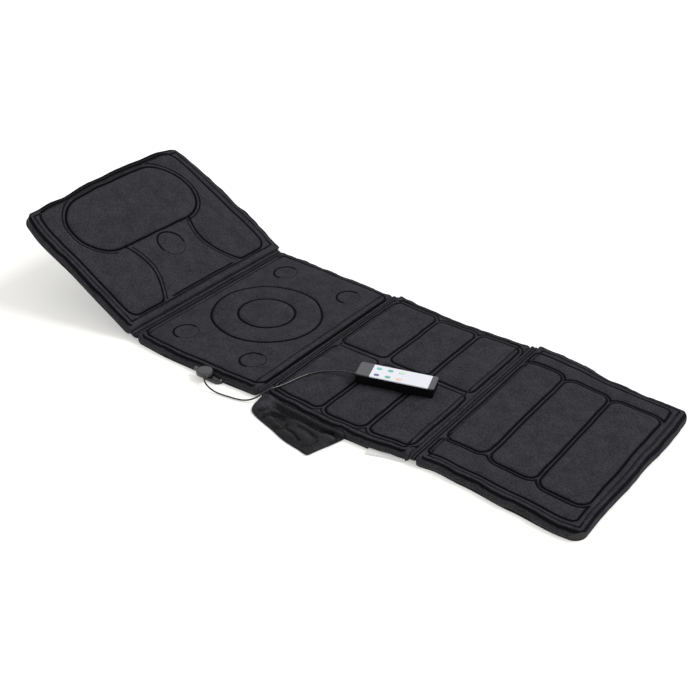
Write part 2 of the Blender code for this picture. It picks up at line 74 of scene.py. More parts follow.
# ======== control cord ===============================================================
# A thin round lead with a soft PVC jacket, from the outlet on the mat's edge to the
# handset. It lies on the floor, climbs the edge beside the hip fold and crosses the pads.
def hex_colour(code):
    """sRGB hex to linear RGBA."""
    rgb = [int(code[i:i + 2], 16) / 255 for i in (0, 2, 4)]
    return [c / 12.92 if c <= 0.04045 else ((c + 0.055) / 1.055) ** 2.4 for c in rgb] + [1.0]


def add_node(tree, kind, sockets=None, **settings):
    """Adds a node; each entry of sockets is a value or an output socket to link."""
    n = tree.nodes.new(kind)
    for key, value in settings.items():
        setattr(n, key, value)
    for key, value in (sockets or {}).items():
        if isinstance(value, bpy.types.NodeSocket):
            tree.links.new(value, n.inputs[key])
        else:
            n.inputs[key].default_value = value
    return n


def new_material(name, colour, **shader):
    """Named material with its Principled shader's plain values; returns it with its tree."""
    mat = bpy.data.materials.new(name)
    mat.use_nodes = True
    bsdf = mat.node_tree.nodes["Principled BSDF"]
    bsdf.inputs["Base Color"].default_value = hex_colour(colour)
    for key, value in shader.items():
        bsdf.inputs[key.replace("_", " ")].default_value = value
    return mat, mat.node_tree, bsdf


def texture(tree, kind, sockets, **settings):
    """Texture node read in the object's own coordinates."""
    coords = add_node(tree, "ShaderNodeTexCoord")
    return add_node(tree, "ShaderNodeTex" + kind,
                    {"Vector": coords.outputs["Object"], **sockets}, **settings)


def relief(tree, bsdf, height, strength, depth):
    """Bump of a height output into the shader's normal; depth in metres."""
    bump = add_node(tree, "ShaderNodeBump", {"Height": height, "Strength": strength,
                                             "Distance": depth})
    tree.links.new(bump.outputs["Normal"], bsdf.inputs["Normal"])


def mesh_piece(name, points, faces, materials, angle=None):
    """Smooth object from points and faces in the shared frame, with outward normals."""
    mesh = bpy.data.meshes.new(name)
    mesh.from_pydata([tuple(p) for p in points], [], faces)
    bm = bmesh.new()
    bm.from_mesh(mesh)
    bmesh.ops.recalc_face_normals(bm, faces=bm.faces)
    bm.to_mesh(mesh)
    bm.free()
    for mat in materials:
        mesh.materials.append(mat)
    mesh.shade_smooth()
    if angle:
        mesh.set_sharp_from_angle(angle=math.radians(angle))
    obj = bpy.data.objects.new(name, mesh)
    scene.collection.objects.link(obj)
    return obj


def smooth_run(points, count):
    """Centripetal curve through the points, read at even steps of its length."""
    pts = [np.array(p, float) for p in points]
    pts = [2 * pts[0] - pts[1]] + pts + [2 * pts[-1] - pts[-2]]
    fine = []
    for p in zip(pts, pts[1:], pts[2:], pts[3:]):
        t = np.cumsum([0] + [np.linalg.norm(b - a) ** 0.5 for a, b in zip(p, p[1:])])
        for s in np.linspace(t[1], t[2], 24, endpoint=False):
            a = [((t[i + 1] - s) * p[i] + (s - t[i]) * p[i + 1]) / (t[i + 1] - t[i])
                 for i in range(3)]
            b = [((t[i + 2] - s) * a[i] + (s - t[i]) * a[i + 1]) / (t[i + 2] - t[i])
                 for i in range(2)]
            fine.append(((t[2] - s) * b[0] + (s - t[1]) * b[1]) / (t[2] - t[1]))
    fine = np.array(fine + [pts[-2]])
    run = np.concatenate([[0], np.cumsum(np.linalg.norm(np.diff(fine, axis=0), axis=1))])
    want = np.linspace(0, run[-1], count)
    return np.stack([np.interp(want, run, fine[:, k]) for k in range(3)], 1), run[-1]


def tube_mesh(name, path, radius, sides, mat):
    """Closed round tube along a path, its frame carried along without twist."""
    path = np.asarray(path, float)
    tan = np.gradient(path, axis=0)
    tan /= np.linalg.norm(tan, axis=1)[:, None]
    side = np.cross(tan[0], (0.0, 0.0, 1.0))
    radius = np.broadcast_to(radius, len(path))
    points, faces = [], []
    for i, (p, t) in enumerate(zip(path, tan)):
        side = side - t * side.dot(t)
        side /= np.linalg.norm(side)
        other = np.cross(t, side)
        for k in range(sides):
            a = 2 * math.pi * k / sides
            points.append(p + radius[i] * (math.cos(a) * side + math.sin(a) * other))
    for i in range(len(path) - 1):
        for k in range(sides):
            j = (k + 1) % sides
            faces.append((i * sides + k, i * sides + j, (i + 1) * sides + j,
                          (i + 1) * sides + k))
    faces.append(tuple(range(sides)))
    faces.append(tuple(range((len(path) - 1) * sides, len(path) * sides)))
    return mesh_piece(name, points, faces, [mat], angle=50)


THICK, WIDTH = 0.028, 0.565
CORD_R = 0.0020
HAND_AT, HAND_YAW = (0.4375, -0.076), math.radians(18)
LEAD_YAW = math.radians(40)
CORD_IN_ACROSS, CORD_IN_HIGH = -0.004, THICK + 0.0108
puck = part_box("outlet_cap")
puck_x, puck_y = (puck[0].x + puck[1].x) / 2, (puck[0].y + puck[1].y) / 2


def on_handset(along, across, z):
    c, s = math.cos(HAND_YAW), math.sin(HAND_YAW)
    return (HAND_AT[0] + along * c - across * s, HAND_AT[1] + along * s + across * c, z)


def off_outlet(reach):
    return (puck_x + reach * math.sin(LEAD_YAW), puck_y - reach * math.cos(LEAD_YAW), 0.0182)


cord_start = off_outlet(0.0291)
cord_end = on_handset(-0.1046, CORD_IN_ACROSS, CORD_IN_HIGH)
cord_way = [cord_start, off_outlet(0.0336), (0.0745, -0.3352, 0.0148),
            (0.088, -0.3372, 0.0088), (0.1056, -0.3365, 0.0042), (0.125, -0.3342, 0.0032),
            (0.1418, -0.3312, 0.0032), (0.160, -0.3275, 0.0032), (0.176, -0.3222, 0.0037),
            (0.190, -0.3145, 0.0066), (0.202, -0.305, 0.0135), (0.2120, -0.2955, 0.0235),
            (0.2215, -0.2830, 0.0316), (0.230, -0.262, 0.0322), (0.2375, -0.230, 0.0309),
            (0.245, -0.195, 0.0308), (0.2555, -0.166, 0.0308), (0.270, -0.144, 0.0312),
            (0.289, -0.130, 0.0332), (0.307, -0.1221, 0.0366),
            on_handset(-0.118, CORD_IN_ACROSS, CORD_IN_HIGH), cord_end]
cord_path, cord_length = smooth_run(cord_way, 150)

# Soft PVC: extruded jacket, near black, with the low broad gloss of plasticised vinyl.
pvc, tree, bsdf = new_material("extruded_soft_pvc", "0C0C0D", Roughness=0.26, Coat_Weight=0.25,
                               Coat_Roughness=0.12)
grain = texture(tree, "Noise", {"Scale": 900.0, "Detail": 2.0})
relief(tree, bsdf, grain.outputs["Fac"], 0.08, 0.0002)

cord = tube_mesh("control_cord_jacket", cord_path, CORD_R, 14, pvc)
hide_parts("control_cord")
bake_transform(cord)


# ======== quilted panel covers =======================================================
# Black knit laminated to foam, pressed and sewn down along creases so that pads stand up
# between them. Each cover wraps over its foam core, down the edge and under it.
HEAD_LEN, BACK_LEN, SEAT_LEN, LEG_LEN = 0.422, 0.396, 0.411, 0.411
FOLD = {"head": -BACK_LEN / 2, "back": -BACK_LEN / 2, "seat": BACK_LEN / 2,
        "leg": BACK_LEN / 2 + SEAT_LEN}
RAISE = math.radians(30)
HINGE_HALF = 0.009
SEW_BASE = 0.0218


def place(panel, u, v, n):
    """Row-frame points from a panel's own u (towards the foot), v (across) and n (up)."""
    u, v, n = np.broadcast_arrays(u, v, n)
    if panel == "head":
        x, z = u - HEAD_LEN, n - THICK
        return np.stack([FOLD["head"] + x * math.cos(RAISE) + z * math.sin(RAISE), v,
                         THICK - x * math.sin(RAISE) + z * math.cos(RAISE)], -1)
    return np.stack([FOLD[panel] + u, v, n], -1)


def slow_wave(a, b, seed, mm=60.0):
    """Smooth irregular wave of two coordinates in metres, about -1 to 1, no random source."""
    total = np.zeros(np.broadcast(a, b).shape)
    for i in range(5):
        k = 6.283 / (mm * 0.001) * (0.55 + 0.31 * i)
        turn = seed * 1.7 + i * 2.39996
        total = total + np.sin(k * (a * math.cos(turn) + b * math.sin(turn))
                               + seed * 5.1 + i * 1.3) / (1 + 0.5 * i)
    return total / 2.2


def pad_sdf(u, v, u0, u1, v0, v1, r):
    """Signed distance to a rounded rectangle, negative inside."""
    qu = np.abs(u - (u0 + u1) / 2) - ((u1 - u0) / 2 - r)
    qv = np.abs(v - (v0 + v1) / 2) - ((v1 - v0) / 2 - r)
    return np.hypot(np.maximum(qu, 0), np.maximum(qv, 0)) + np.minimum(np.maximum(qu, qv), 0) - r


def ring_sdf(u, v, cu, cv, r):
    return np.hypot(u - cu, v - cv) - r


def soft_max(a, b, k):
    """Larger of two distances, rounded over k metres where they meet."""
    h = np.clip(0.5 - 0.5 * (b - a) / k, 0, 1)
    return b + (a - b) * h + k * h * (1 - h)


def eased(t, *stops):
    """Smooth run through (place, value) stops, level at each of them."""
    out = np.full(np.shape(t), float(stops[0][1]))
    for (a, p), (b, q) in zip(stops, stops[1:]):
        k = np.clip((t - a) / (b - a), 0, 1)
        out = np.where(t > a, p + (q - p) * k * k * (3 - 2 * k), out)
    return out


# How far each long edge stands out from the pattern's half width, in mm, along the panel.
LONG_EDGES = {
    "head": (((0.0, 7.0), (0.2, 15.0), (0.5, 7.5), (1.0, 5.0)),
             ((0.0, 9.0), (0.3, 27.0), (0.55, 33.0), (0.75, 40.0), (1.0, 35.0))),
    "back": (((0.0, 6.0), (0.3, 14.0), (0.7, 12.0), (1.0, 7.0)),
             ((0.0, 27.0), (0.35, 25.0), (0.7, 17.0), (1.0, 12.0))),
    "seat": (((0.0, 4.0), (0.22, 11.0), (0.5, 17.0), (0.72, 14.0), (0.9, 4.0), (1.0, -1.0)),
             ((0.0, 26.0), (0.25, 17.0), (0.45, 8.0), (0.7, 12.0), (1.0, 16.0))),
    "leg": (((0.0, 0.0), (0.14, -8.0), (0.3, -3.0), (0.6, 8.0), (0.85, 16.0), (1.0, 12.0)),
            ((0.0, 38.0), (0.12, 34.0), (0.3, 25.0), (0.55, -1.0), (0.8, -9.5), (1.0, -12.0)))}


def long_edge(panel, t, far):
    return 0.001 * eased(t, *LONG_EDGES[panel][1 if far else 0])


def hand_cut(panel, length, u, v):
    """Moves a panel's cloth out or in towards its rim, as a hand-cut and sewn one ends up."""
    t = u / length
    out = np.where(v > 0, long_edge(panel, t, True), long_edge(panel, t, False))
    ramp = np.clip(np.abs(v) / (WIDTH / 2), 0, 1.01) ** np.where(v > 0, 3.2, 1.8)
    across = v / (WIDTH / 2)
    if panel == "head":
        end = np.clip(1 - u / 0.120, 0, 1) ** 1.5
        u = u - end * 0.001 * eased(across, (-1, -0.5), (-0.6, 6.0), (-0.1, 20.0), (0.3, 25.0),
                                    (0.75, 24.0), (1, 13.0))
    if panel == "leg":
        end = np.clip(1 - (length - u) / 0.085, 0, 1) ** 1.6
        u = u + end * 0.001 * eased(across, (-1, -3.0), (-0.7, -3.5), (0, 4.0), (0.6, 12.5),
                                    (1, 9.0))
    return u, v + np.sign(v) * out * ramp


def only(sdf, where):
    """Keeps a crease line where the second distance is positive, fading out elsewhere."""
    return np.where(where > 0, sdf, np.sign(sdf + 1e-9) * np.hypot(sdf, where * 1.5))


def head_creases(u, v):
    """Pillow pad, a field that surrounds it, a waisted centre column and a small round."""
    pad = pad_sdf(u, v, 0.026, 0.203, -0.205, 0.205, 0.084)
    t = np.clip((u - 0.203) / 0.178, 0, 1.1)
    half = 0.121 + 0.026 * t * t - 0.024 * np.sin(np.pi * np.clip(t, 0, 1))
    mid = v - 0.009
    column = soft_max(np.abs(mid) - half, 0.150 - u, 0.004)
    field = soft_max(pad_sdf(u, v, 0.013, 0.386, -0.250, 0.250, 0.026), -column, 0.012)
    field = np.maximum(field, -pad - 0.0005)
    spot = ring_sdf(u, v, 0.252, 0.014, 0.0385)
    inner = only(np.abs(mid) - half + 0.011, np.minimum(u - 0.215, 0.386 - u))
    outer = only(pad - 0.0095, np.maximum(-0.145 - v, v - 0.115))
    foot = only(u - 0.3925, 0.235 - np.abs(v))
    waist = only(u - 0.386, 0.118 - np.abs(mid))
    return ([(pad, 8.4), (field, 6.0)],
            [(only(spot, 0.262 - u), 2.6, 2.2), (spot, 0.9, 0.7), (outer, 1.6, 1.5),
             (inner, 1.3, 1.5), (waist, 2.2, 2.0), (foot, 0.8, 1.4)], 4.2)


def back_creases(u, v):
    """Large double circle over the heating pad, with a small round near each corner."""
    field = pad_sdf(u, v, 0.012, 0.385, -0.263, 0.263, 0.024)
    big, small = ring_sdf(u, v, 0.191, 0, 0.141), ring_sdf(u, v, 0.189, 0, 0.073)
    fine = []
    for du in (-0.100, 0.112):
        for cv in (-0.195, 0.195):
            dome = ring_sdf(u, v, 0.194 + du, cv, 0.0310)
            fine.append((only(dome, 0.198 + du - u), 2.6, 2.2))
            fine.append((dome, 0.9, 0.7))
    return [(field, 5.4), (big, 6.8), (small, 7.8)], fine, 3.0


def seat_creases(u, v):
    """Two columns of three pads, with a narrow spine between them."""
    pads = [pad_sdf(u, v, u0, u1, v0, v1, 0.020)
            for u0, u1, e, near in ((0.019, 0.152, 0.252, 0.250), (0.162, 0.271, 0.247, 0.252),
                                    (0.282, 0.394, 0.252, 0.252))
            for v0, v1 in ((0.0075, e), (-near, -0.0075))]
    every = np.minimum.reduce(pads)
    round_them = only(every - 0.0098, np.abs(v) - 0.225)
    return [(every, 6.2)], [(round_them, 2.0, 1.6)], 3.0


def leg_creases(u, v):
    """Three long pads across the leg panel between two notched side fields."""
    pads = [pad_sdf(u, v, u0, u1, v0, v1, 0.026)
            for u0, u1, v0, v1 in ((0.020, 0.124, -0.180, 0.210), (0.134, 0.249, -0.190, 0.203),
                                   (0.258, 0.377, -0.199, 0.197))]
    every = np.minimum.reduce(pads)
    sides = pad_sdf(u, np.abs(v), 0.018, 0.380, 0.180, 0.252, 0.014)
    fields = soft_max(sides, -(every - 0.0085), 0.006)
    return [(every, 6.2), (fields, 4.6)], [], 3.0


def to_outline(a, b, ha, hb, corners):
    """Maps a rectangle of half sides ha, hb onto one with rounded corners."""
    a, b = a.copy(), b.copy()
    for sa, sb, r in corners:
        pa, pb = (sa * a - (ha - r)) / r, (sb * b - (hb - r)) / r
        m = (pa > 0) & (pb > 0)
        pa, pb = np.clip(pa, 0, 1), np.clip(pb, 0, 1)
        na, nb = pa * np.sqrt(1 - pb * pb / 2), pb * np.sqrt(1 - pa * pa / 2)
        a = np.where(m, sa * (ha - r + r * na), a)
        b = np.where(m, sb * (hb - r + r * nb), b)
    return a, b


def border(index):
    """Indices round a grid's outside, in order."""
    return np.concatenate([index[:-1, 0], index[-1, :-1], index[:0:-1, -1], index[0, :0:-1]])


SEAM_IN, HEM_IN = 0.0185, 0.0062
EDGE_LOW, WEB_LOW = 0.0088, 0.0172
PUCKER_REACH = 0.036


def cover_surface(panel, length, creases, seed, free_start, free_end, step=0.0016):
    """One closed cover: points, faces, three marks per point and its stitch lines."""
    u0 = 0.0 if free_start else HINGE_HALF
    u1 = length if free_end else length - HINGE_HALF
    hu, hv = (u1 - u0) / 2, WIDTH / 2
    nu, nv = int(2 * hu / step), int(2 * hv / step)
    a, b = np.meshgrid(np.linspace(-hu, hu, nu + 1), np.linspace(-hv, hv, nv + 1), indexing="ij")
    rs, re = (0.036 if free_start else 0.006), (0.032 if free_end else 0.006)
    a, b = to_outline(a, b, hu, hv, [(-1, -1, rs), (-1, 1, rs), (1, -1, re), (1, 1, re)])
    u, v = a + (u0 + u1) / 2, b
    # Creases are pressed by hand, so every one wanders a little.
    wu = u + 0.0011 * slow_wave(u, v, seed + 40, 95)
    wv = v + 0.0011 * slow_wave(u, v, seed + 50, 95)
    thick, fine, flange = creases(wu, wv)
    near = np.full(u.shape, 1.0)
    amp = np.full(u.shape, flange)
    for sdf, lift in thick:
        amp = np.where(sdf < 0, lift, amp)
        near = np.where(np.abs(sdf) < np.abs(near), sdf, near)
    dist = np.abs(near)
    rim = -pad_sdf(wu, wv, u0, u1, -hv, hv, 0.020)
    seam = rim - SEAM_IN
    to_hinge = np.minimum(1.0 if free_start else u - u0, 1.0 if free_end else u1 - u)
    hem = only(rim - HEM_IN, to_hinge - 0.012)
    fine = fine + [(seam, 1.5, 1.7), (hem, 2.0, 2.4)]
    crown = 0.60 * (1 - np.exp(-(dist / 0.0042) ** 1.4)) + 0.40 * (1 - np.exp(-dist / 0.022))
    n = SEW_BASE + 0.001 * amp * crown
    n += 0.0006 * slow_wave(u, v, seed) * np.clip(dist / 0.012, 0, 1)
    n += 0.0003 * slow_wave(u, v, seed + 20, 21) * np.clip(dist / 0.008, 0, 1)
    for sdf, deep, wide in fine:
        n -= 0.001 * deep * np.exp(-(sdf / (0.001 * wide)) ** 2)
    n = np.maximum(n, np.where(rim > 0.0095, 0.02145, 0.0))
    # The border rolls down to the seam; where a fabric hinge starts it stays nearly level.
    edges = np.stack([u - u0, u1 - u, v + hv, hv - v])
    lows = [EDGE_LOW if free_start else WEB_LOW, EDGE_LOW if free_end else WEB_LOW,
            EDGE_LOW, EDGE_LOW]
    fall, low_n = np.ones(u.shape), np.zeros(u.shape)
    weight = np.zeros(u.shape)
    for e, low, reach in zip(edges, lows, (0.0105 if free_start else 0.0065,
                                           0.0105 if free_end else 0.0065, 0.0105, 0.0105)):
        fall = fall * np.sqrt(np.clip(1 - (1 - np.clip(e / reach, 0, 1)) ** 2, 0, 1))
        w = 1 / (np.maximum(e, 0) + 0.0004) ** 3
        low_n, weight = low_n + w * low, weight + w
    low_n = low_n / weight
    n = low_n + (n - low_n) * fall
    # The long edges pucker where the seam takes the cloth up.
    side = np.minimum(edges[2], edges[3])
    pull = np.clip(1 - side / PUCKER_REACH, 0, 1) ** 1.3
    tuck = slow_wave(u, np.sign(v) * 0.3, seed + 3, 62)
    v = v - np.sign(v) * (0.0012 + 0.0022 * tuck) * pull
    n = n + (0.0013 * slow_wave(u, np.sign(v) * 0.4, seed + 5, 40) * pull
             + 0.0006 * slow_wave(u, np.sign(v) * 0.1, seed + 6, 15) * pull ** 2)
    for free, e in ((free_start, edges[0]), (free_end, edges[1])):
        if free:
            pull = np.clip(1 - e / PUCKER_REACH, 0, 1) ** 1.3
            n = n + 0.0011 * slow_wave(v, u * 0.2, seed + 8, 48) * pull
            sway = 0.0016 * slow_wave(v, 0.5, seed + 9, 90) - 0.0022 * np.cos(v / hv * 1.5)
            u = u + 0.001 * pull - sway * pull * 0.8 - 0.0012 * pull
    u, v = hand_cut(panel, length, u, v)
    grid = place(panel, u, v, n)
    # Lock stitches sit in the seam's crease, at the grid line nearest to it on each side.
    band, skip = range(int(0.013 / step), int(0.023 / step)), int(0.034 / step)
    stitch_runs = []
    for flip in (False, True):
        for whole, gap in ((grid, np.abs(seam)), (grid.swapaxes(0, 1), np.abs(seam).T)):
            if flip:
                whole, gap = whole[:, ::-1], gap[:, ::-1]
            rows = range(skip, whole.shape[0] - skip, 3)
            run = np.array([whole[i, band[int(np.argmin(gap[i, band]))]] for i in rows])
            soft = np.stack([np.convolve(run[:, k], np.ones(5) / 5, "valid")
                             for k in range(3)], 1)
            stitch_runs.append(soft)
    index = np.arange(u.size).reshape(u.shape)
    faces = [(index[i, j], index[i + 1, j], index[i + 1, j + 1], index[i, j + 1])
             for i in range(nu) for j in range(nv)]
    loop = border(index)
    lu, lv, ln = u.ravel()[loop], v.ravel()[loop], n.ravel()[loop]
    mu = (lu - (u0 + u1) / 2) - np.clip(lu - (u0 + u1) / 2, -(hu - 0.020), hu - 0.020)
    mv = lv - np.clip(lv, -(hv - 0.020), hv - 0.020)
    size = np.maximum(np.hypot(mu, mv), 1e-6)
    run = np.concatenate([[0], np.cumsum(np.hypot(np.diff(lu), np.diff(lv)))])
    rows, last, count = [grid.reshape(-1, 3)], loop, u.size
    # Gusset below the rolled edge, the turned-under hem, then the hollow for the foam.
    slump = 0.0009 * slow_wave(run, 0.02, seed + 11, 30)
    for drop, out, level in ((0.10, 0.1, 0), (0.26, 0.1, 0), (0.45, -0.5, 0), (0.62, -1.1, 0),
                             (0.78, -1.3, 0), (0.90, -1.2, 0), (0.98, -1.7, 0), (1.0, -2.6, 0),
                             (1.0, -8.5, 0), (0, -9.5, 0.0150), (0, -13.7, 0.0211)):
        away = 0.001 * out + slump * math.sin(math.pi * min(drop, 0.99)) * (level == 0)
        depth = ln + (0.0026 - ln) * drop if level == 0 else np.full(len(loop), level)
        rows.append(place(panel, lu + mu / size * away, lv + mv / size * away, depth))
        ring = np.arange(count, count + len(loop))
        for i in range(len(loop)):
            j = (i + 1) % len(loop)
            faces.append((last[i], last[j], ring[j], ring[i]))
        last, count = ring, count + len(loop)
    faces.append(tuple(last))
    plain = np.full(count - u.size, 40.0)
    gusset = np.concatenate([np.zeros(u.size), np.ones(count - u.size)])
    # Distances in mm to the creases and seams, from which the knit paints shade along them.
    fine_near = np.minimum.reduce([np.abs(sdf) / (wide / 1.6) for sdf, _, wide in fine])
    marks = [np.concatenate([near.ravel() * 1000, plain]),
             np.concatenate([fine_near.ravel() * 1000, plain]), gusset]
    return np.concatenate(rows), faces, marks, stitch_runs


# Laminated knit: fine black polyester loops bonded to foam. The pile gives a faint cool
# sheen on the crowns, and the creases and seams are painted almost black as shade. Loops are drawn
# 1.6 mm apart, coarser than a knit of this kind, so that they show.
knit, tree, bsdf = new_material("laminated_polyester_knit", "202023", Roughness=0.82,
                                Sheen_Weight=0.02, Sheen_Roughness=0.5,
                                Specular_IOR_Level=0.05)
bsdf.inputs["Sheen Tint"].default_value = hex_colour("9C9CA8")
loops = texture(tree, "Voronoi", {"Scale": 1000 / 1.6, "Randomness": 0.8})
fleck = texture(tree, "Noise", {"Scale": 1000 / 2.6, "Detail": 2.0, "Roughness": 0.7})
mottle = texture(tree, "Noise", {"Scale": 26.0, "Detail": 5.0, "Roughness": 0.6})
pucker = texture(tree, "Noise", {"Scale": 70.0, "Detail": 3.0, "Distortion": 0.6})
speck = add_node(tree, "ShaderNodeMapRange", {"Value": fleck.outputs["Fac"], "From Min": 0.38,
                                              "From Max": 0.62, "To Min": 0.0, "To Max": 0.75})
cloud = add_node(tree, "ShaderNodeMapRange", {"Value": mottle.outputs["Fac"], "From Min": 0.35,
                                              "From Max": 0.65, "To Min": 0.0, "To Max": 0.25})
grey = add_node(tree, "ShaderNodeMath", {0: speck.outputs["Result"], 1: cloud.outputs["Result"]},
                operation="ADD", use_clamp=True)
tone = add_node(tree, "ShaderNodeMix", {"Factor": grey.outputs[0]}, data_type="RGBA")
tone.inputs[6].default_value = hex_colour("1B1B1E")
tone.inputs[7].default_value = hex_colour("3C3C41")


def crease_shade_mask(attribute, width, top):
    """Painted crease shade: 1 on a crease line and 0 at width mm from it, from a stored distance.
    """
    stored = add_node(tree, "ShaderNodeAttribute", attribute_name=attribute)
    size = add_node(tree, "ShaderNodeMath", {0: stored.outputs["Fac"]}, operation="ABSOLUTE")
    mask = add_node(tree, "ShaderNodeMapRange",
                    {"Value": size.outputs[0], "From Min": 1.4, "From Max": width,
                     "To Min": top, "To Max": 0.0}, interpolation_type="SMOOTHSTEP")
    return mask.outputs["Result"]


# Painted shade: creases and seams are coloured near black, as if shade lay in them.
painted_crease_shade = add_node(tree, "ShaderNodeMath", {0: crease_shade_mask("crease_mm", 4.6, 1.0),
                                            1: crease_shade_mask("seam_mm", 2.8, 0.92)},
                   operation="MAXIMUM")
# The side wall below the rolled edge is mixed a third of the way to a warm grey.
below = add_node(tree, "ShaderNodeAttribute", attribute_name="gusset")
side_wall_share = add_node(tree, "ShaderNodeMapRange", {"Value": below.outputs["Fac"], "To Max": 0.35})
side_tone = add_node(tree, "ShaderNodeMix", {"Factor": side_wall_share.outputs["Result"],
                                             6: tone.outputs[2]}, data_type="RGBA")
side_tone.inputs[7].default_value = hex_colour("4A4643")
# The painted crease shade darkens the knit's own tone towards black.
crease_shaded = add_node(tree, "ShaderNodeMix", {"Factor": painted_crease_shade.outputs[0],
                                        6: side_tone.outputs[2]}, data_type="RGBA")
crease_shaded.inputs[7].default_value = hex_colour("020203")
tree.links.new(crease_shaded.outputs[2], bsdf.inputs["Base Color"])
loop_bump = add_node(tree, "ShaderNodeBump", {"Height": loops.outputs["Distance"],
                                              "Strength": 0.7, "Distance": 0.0005})
pucker_bump = add_node(tree, "ShaderNodeBump", {"Height": pucker.outputs["Fac"],
                                                "Strength": 0.4, "Distance": 0.0016,
                                                "Normal": loop_bump.outputs["Normal"]})
tree.links.new(pucker_bump.outputs["Normal"], bsdf.inputs["Normal"])

# Bonded polyester thread, a shade lighter and glossier than the knit.
thread, tree, bsdf = new_material("bonded_polyester_thread", "3A3A40", Roughness=0.45)
twist = texture(tree, "Wave", {"Scale": 1000 / 0.7 / 6.28}, bands_direction="DIAGONAL")
relief(tree, bsdf, twist.outputs["Fac"], 0.5, 0.0001)

sewing = bpy.data.node_groups.new("lock_stitch_rows", "GeometryNodeTree")
sewing.interface.new_socket("Geometry", in_out="INPUT", socket_type="NodeSocketGeometry")
STITCH = {"Spacing": 0.0046, "Length": 0.0033, "Thread radius": 0.00042}
for name in STITCH:
    sewing.interface.new_socket(name, in_out="INPUT", socket_type="NodeSocketFloat")
sewing.interface.new_socket("Thread", in_out="INPUT", socket_type="NodeSocketMaterial")
sewing.interface.new_socket("Geometry", in_out="OUTPUT", socket_type="NodeSocketGeometry")
given, result = add_node(sewing, "NodeGroupInput"), add_node(sewing, "NodeGroupOutput")
rows = add_node(sewing, "GeometryNodeMeshToCurve", {"Mesh": given.outputs["Geometry"]})
even = add_node(sewing, "GeometryNodeResampleCurve",
                {"Curve": rows.outputs["Curve"], "Length": given.outputs["Spacing"]}, mode="LENGTH")
along = add_node(sewing, "GeometryNodeInputTangent")
turn = add_node(sewing, "FunctionNodeAlignRotationToVector",
                {"Vector": along.outputs["Tangent"]}, axis="Z")
bead = add_node(sewing, "GeometryNodeMeshCylinder",
                {"Vertices": 6, "Radius": given.outputs["Thread radius"],
                 "Depth": given.outputs["Length"]})
each = add_node(sewing, "GeometryNodeInstanceOnPoints",
                {"Points": even.outputs["Curve"], "Instance": bead.outputs["Mesh"],
                 "Rotation": turn.outputs["Rotation"]})
real = add_node(sewing, "GeometryNodeRealizeInstances", {"Geometry": each.outputs["Instances"]})
dyed = add_node(sewing, "GeometryNodeSetMaterial", {"Geometry": real.outputs["Geometry"],
                                                   "Material": given.outputs["Thread"]})
sewing.links.new(dyed.outputs["Geometry"], result.inputs["Geometry"])


def store(obj, name, values):
    """One number per point, for the material to read."""
    layer = obj.data.attributes.new(name, "FLOAT", "POINT")
    layer.data.foreach_set("value", np.asarray(values).astype(np.float32))


def apply_modifiers(obj):
    """Turns an object and its modifiers into one plain mesh."""
    bpy.context.view_layer.update()
    done = bpy.data.meshes.new_from_object(
        obj.evaluated_get(bpy.context.evaluated_depsgraph_get()))
    obj.modifiers.clear()
    obj.data = done


def sew(name, runs, inputs):
    """Rows of stitches along polylines, as one plain mesh object."""
    mesh = bpy.data.meshes.new(name)
    starts = np.cumsum([0] + [len(run) for run in runs])
    edges = [(a + i, a + i + 1) for a, run in zip(starts, runs) for i in range(len(run) - 1)]
    mesh.from_pydata([tuple(p) for run in runs for p in run], edges, [])
    obj = bpy.data.objects.new(name, mesh)
    scene.collection.objects.link(obj)
    needle = obj.modifiers.new("needle", "NODES")
    needle.node_group = sewing
    for item in sewing.interface.items_tree:
        if item.in_out == "INPUT" and item.name in inputs:
            needle[item.identifier] = inputs[item.name]
    apply_modifiers(obj)
    return obj


for panel, length, creases, seed, first, last in (
        ("head", HEAD_LEN, head_creases, 1, True, False),
        ("back", BACK_LEN, back_creases, 2, False, False),
        ("seat", SEAT_LEN, seat_creases, 3, False, False),
        ("leg", LEG_LEN, leg_creases, 4, False, True)):
    points, faces, marks, runs = cover_surface(panel, length, creases, seed, first, last)
    cover = mesh_piece(f"{panel}_quilted_cover", points, faces, [knit])
    for name, values in zip(("crease_mm", "seam_mm", "gusset"), marks):
        store(cover, name, np.clip(values, -40, 40))
    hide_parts(f"{panel}_top_cover")
    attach(cover, f"{panel}_panel")
    stitches = sew(f"{panel}_lock_stitches", runs, {**STITCH, "Thread": thread})
    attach(stitches, f"{panel}_panel")
